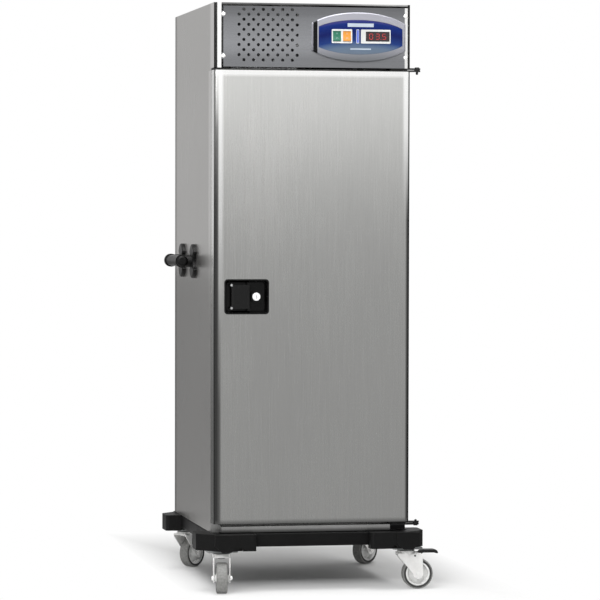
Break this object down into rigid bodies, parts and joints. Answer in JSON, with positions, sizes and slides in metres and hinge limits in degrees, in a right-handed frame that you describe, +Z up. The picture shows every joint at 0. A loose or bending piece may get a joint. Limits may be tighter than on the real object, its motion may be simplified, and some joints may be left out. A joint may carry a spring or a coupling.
{
  "type": "refrigerated banquet cart",
  "caption": "Tall one-door chilled cart on swivel castors, with a machine hood on top, a flush paddle latch, side push handle, corner bumpers and tray racks inside.",
  "frame": {"origin": "on the floor under the middle of the bounding box", "axes": "+Z up, the door faces -Y, +X to the right of someone who faces the door"},
  "size_m": [0.8115, 0.9033, 1.898],
  "materials": {
    "brushed_body": "satin",
    "liner_steel": "satin",
    "hood_steel": "satin",
    "zinc": "satin",
    "steel_dark": "satin",
    "black_plastic": "satin",
    "bumper_black": "matte",
    "bezel_silver": "satin",
    "label_blue": "gloss",
    "white_plastic": "gloss",
    "green_plastic": "gloss",
    "orange_plastic": "gloss",
    "display_black": "gloss",
    "foam": "matte",
    "break_plastic": "matte",
    "gasket": "matte",
    "chrome": "polished",
    "aluminium": "satin",
    "compressor_black": "gloss",
    "hub_plastic": "satin",
    "tyre_grey": "matte"
  },
  "bodies": {
    "cabinet": {"back_panel": "brushed_body", "base_pan": "zinc", "cabinet_foam": "foam", "castor_plates": "zinc", "chassis_frame": "steel_dark", "compressor": "compressor_black", "condenser_coil": "aluminium", "control_bezel": "bezel_silver", "control_label": "label_blue", "corner_bumpers": "bumper_black", "display_module": "display_black", "drip_gutter": "brushed_body", "evaporator_coil": "aluminium", "evaporator_cover": "liner_steel", "evaporator_motor": "steel_dark", "fan_shroud": "zinc", "fascia_panel": "hood_steel", "front_frame": "break_plastic", "handle_bar": "black_plastic", "handle_brackets": "black_plastic", "hinge_bracket_lower": "steel_dark", "hinge_bracket_upper": "steel_dark", "inner_liner": "liner_steel", "latch_strike": "zinc", "machine_deck": "zinc", "panel_screws": "chrome", "power_inlet": "black_plastic", "side_panel_left": "brushed_body", "side_panel_right": "brushed_body", "switch_frame": "white_plastic", "top_cover": "brushed_body", "tray_rack_left": "liner_steel", "tray_rack_right": "liner_steel"},
    "door": {"door_skin": "brushed_body", "door_liner": "liner_steel", "door_foam": "foam", "door_gasket": "gasket", "latch_dish": "black_plastic", "hinge_arms": "steel_dark"},
    "latch_paddle": {"latch_paddle": "black_plastic"},
    "latch_bolt": {"latch_bolt": "zinc"},
    "lock_cylinder": {"lock_cylinder": "chrome"},
    "rocker_green": {"rocker_green": "green_plastic"},
    "rocker_orange": {"rocker_orange": "orange_plastic"},
    "condenser_fan": {"condenser_fan": "black_plastic"},
    "evaporator_fan": {"evaporator_fan": "black_plastic"},
    "castor_fl": {"fork_fl": "zinc"},
    "wheel_fl": {"wheel_hub_fl": "hub_plastic", "tyre_fl": "tyre_grey"},
    "castor_fr": {"fork_fr": "zinc"},
    "wheel_fr": {"wheel_hub_fr": "hub_plastic", "tyre_fr": "tyre_grey"},
    "castor_rl": {"fork_rl": "zinc"},
    "wheel_rl": {"wheel_hub_rl": "hub_plastic", "tyre_rl": "tyre_grey"},
    "castor_rr": {"fork_rr": "zinc"},
    "wheel_rr": {"wheel_hub_rr": "hub_plastic", "tyre_rr": "tyre_grey"},
    "brake_pedal_fr": {"brake_pedal_fr": "black_plastic"},
    "brake_pedal_rr": {"brake_pedal_rr": "black_plastic"}
  },
  "joints": [
    {"name": "door_hinge", "type": "hinge", "parent": "cabinet", "child": "door", "pos_m": [0.33325, -0.3585, 0.9515], "axis": [0, 0, 1], "range_deg": [0, 267]},
    {"name": "paddle_pivot", "type": "hinge", "parent": "door", "child": "latch_paddle", "pos_m": [-0.22325, -0.3715, 0.9535], "axis": [0, 0, 1], "range_deg": [0, 35]},
    {"name": "bolt_slide", "type": "slide", "parent": "door", "child": "latch_bolt", "axis": [1, 0, 0], "range_m": [0, 0.012]},
    {"name": "lock_turn", "type": "hinge", "parent": "door", "child": "lock_cylinder", "pos_m": [-0.19875, -0.3765, 0.9535], "axis": [0, -1, 0], "range_deg": [0, 90]},
    {"name": "rocker_green_tilt", "type": "hinge", "parent": "cabinet", "child": "rocker_green", "pos_m": [0.06225, -0.3793, 1.79375], "axis": [1, 0, 0], "range_deg": [0, 18]},
    {"name": "rocker_orange_tilt", "type": "hinge", "parent": "cabinet", "child": "rocker_orange", "pos_m": [0.09525, -0.3793, 1.79375], "axis": [1, 0, 0], "range_deg": [0, 18]},
    {"name": "swivel_fl", "type": "hinge", "parent": "cabinet", "child": "castor_fl", "pos_m": [-0.30875, -0.3585, 0.1245], "axis": [0, 0, 1], "continuous": true},
    {"name": "roll_fl", "type": "hinge", "parent": "castor_fl", "child": "wheel_fl", "pos_m": [-0.3139, -0.39514, 0.05], "axis": [0.9903, -0.1392, 0], "continuous": true},
    {"name": "swivel_fr", "type": "hinge", "parent": "cabinet", "child": "castor_fr", "pos_m": [0.30125, -0.3585, 0.1245], "axis": [0, 0, 1], "continuous": true},
    {"name": "roll_fr", "type": "hinge", "parent": "castor_fr", "child": "wheel_fr", "pos_m": [0.33816, -0.36108, 0.05], "axis": [0.0698, 0.9976, 0], "continuous": true},
    {"name": "pedal_fr", "type": "hinge", "parent": "castor_fr", "child": "brake_pedal_fr", "pos_m": [0.32719, -0.36031, 0.1095], "axis": [0.0698, 0.9976, 0], "range_deg": [0, 10]},
    {"name": "swivel_rl", "type": "hinge", "parent": "cabinet", "child": "castor_rl", "pos_m": [-0.30875, 0.3795, 0.1245], "axis": [0, 0, 1], "continuous": true},
    {"name": "roll_rl", "type": "hinge", "parent": "castor_rl", "child": "wheel_rl", "pos_m": [-0.28125, 0.40426, 0.05], "axis": [-0.6691, 0.7431, 0], "continuous": true},
    {"name": "swivel_rr", "type": "hinge", "parent": "cabinet", "child": "castor_rr", "pos_m": [0.30125, 0.3795, 0.1245], "axis": [0, 0, 1], "continuous": true},
    {"name": "roll_rr", "type": "hinge", "parent": "castor_rr", "child": "wheel_rr", "pos_m": [0.33041, 0.40228, 0.05], "axis": [-0.6157, 0.788, 0], "continuous": true},
    {"name": "pedal_rr", "type": "hinge", "parent": "castor_rr", "child": "brake_pedal_rr", "pos_m": [0.32174, 0.39551, 0.1095], "axis": [-0.6157, 0.788, 0], "range_deg": [0, 10]},
    {"name": "condenser_fan_spin", "type": "hinge", "parent": "cabinet", "child": "condenser_fan", "pos_m": [-0.16275, -0.2465, 1.783], "axis": [0, 1, 0], "continuous": true},
    {"name": "evaporator_fan_spin", "type": "hinge", "parent": "cabinet", "child": "evaporator_fan", "pos_m": [-0.01575, 0.1095, 1.576], "axis": [0, 0, 1], "continuous": true}
  ],
  "couplings": [
    {"joint": "bolt_slide", "follows": "paddle_pivot", "m_per_rad": 0.019642}
  ]
}
